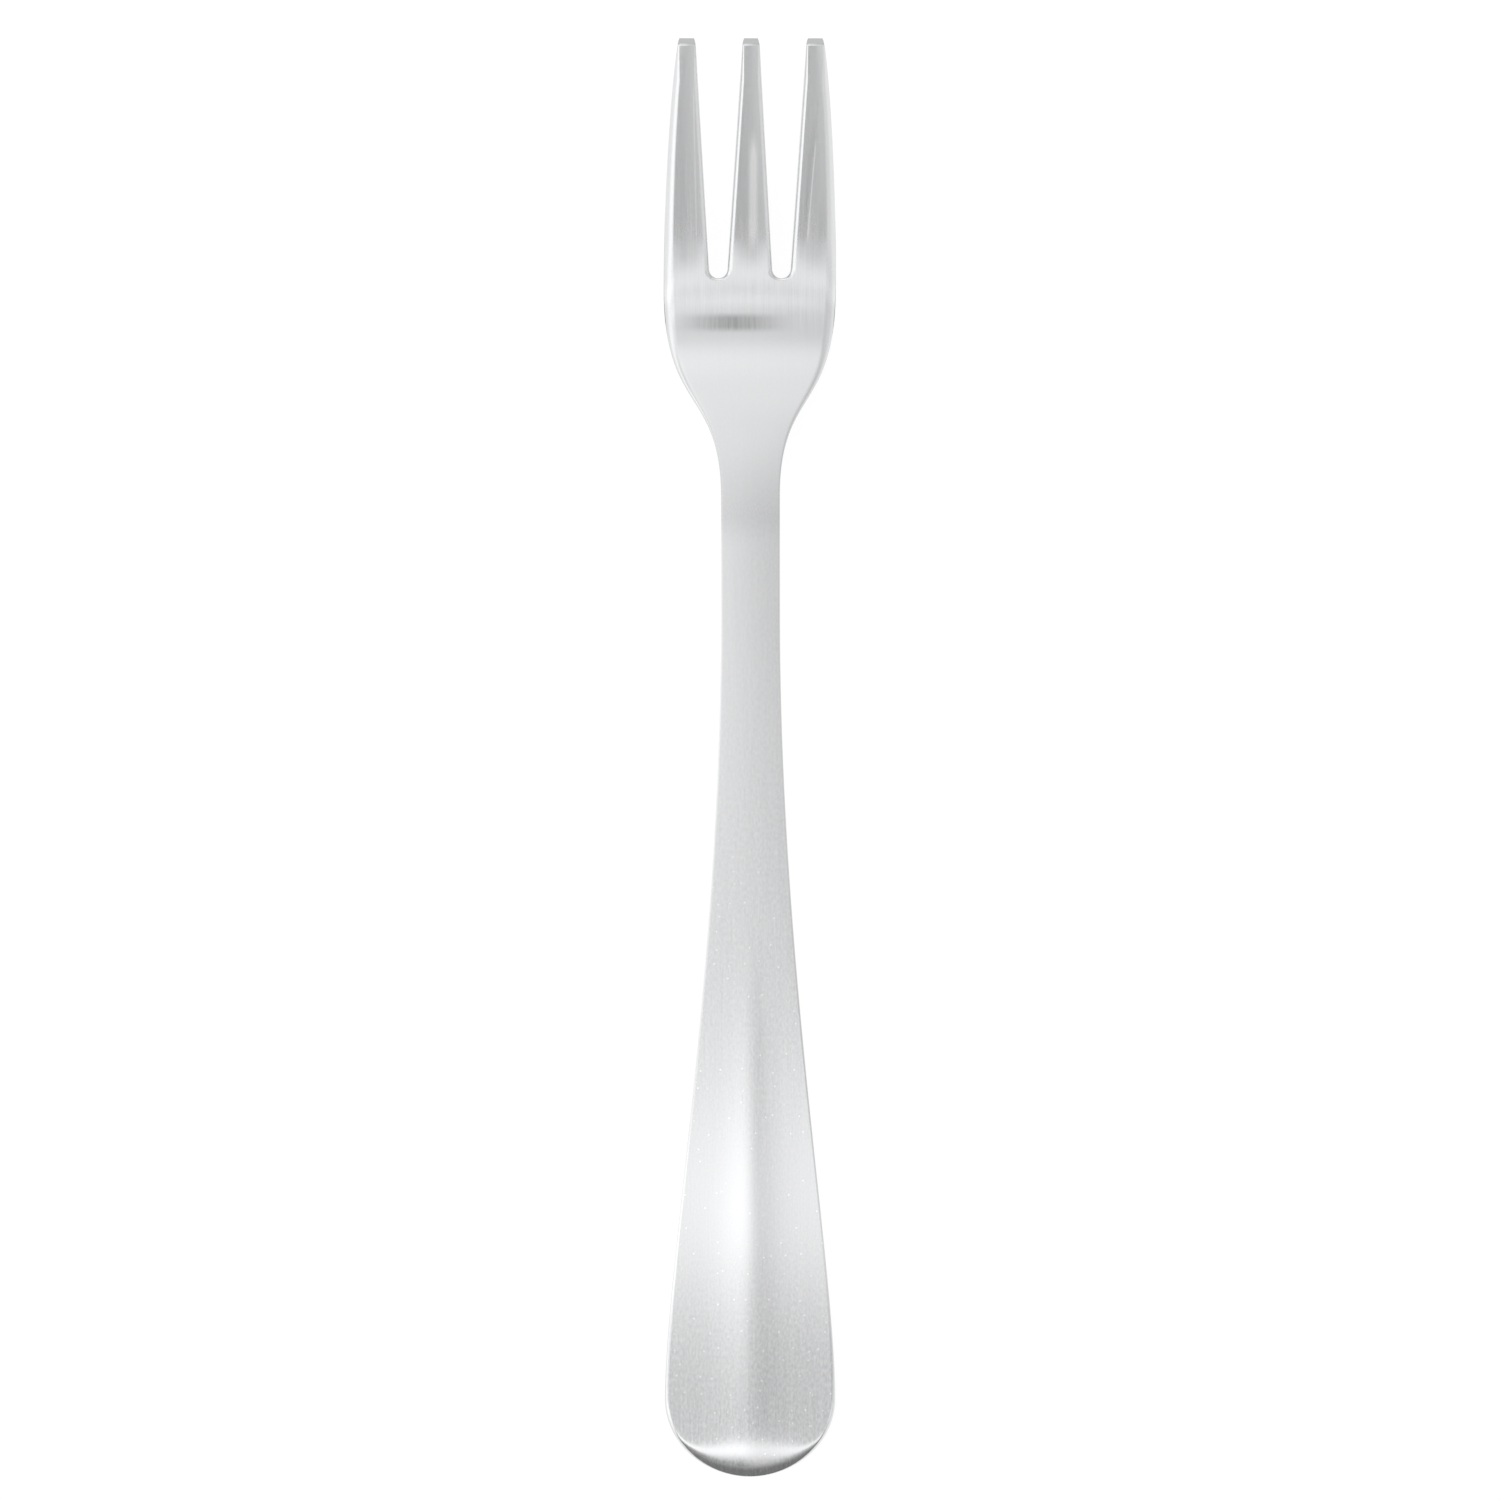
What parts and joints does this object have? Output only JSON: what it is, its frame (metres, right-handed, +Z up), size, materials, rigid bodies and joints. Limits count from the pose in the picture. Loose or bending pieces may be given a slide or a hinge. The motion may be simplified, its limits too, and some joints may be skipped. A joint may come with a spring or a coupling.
{
  "type": "oyster fork",
  "caption": "Slim stamped steel oyster fork with flat-cut tines, a narrow shank and a flared handle with a soft centre ridge and a turned-down end, for lifting shellfish from the shell.",
  "frame": {"origin": "on the table under the fork, midway along its length and across its width", "axes": "+Y along the fork towards the tine tips, +Z up from the table, +X to the right seen from above with the tines away"},
  "size_m": [0.0168, 0.14, 0.0114],
  "materials": {
    "steel": "satin, brushed along the fork"
  },
  "bodies": {
    "root": {"handle": "steel", "shank": "steel", "head": "steel", "left_tine": "steel", "centre_tine": "steel", "right_tine": "steel"}
  },
  "joints": []
}
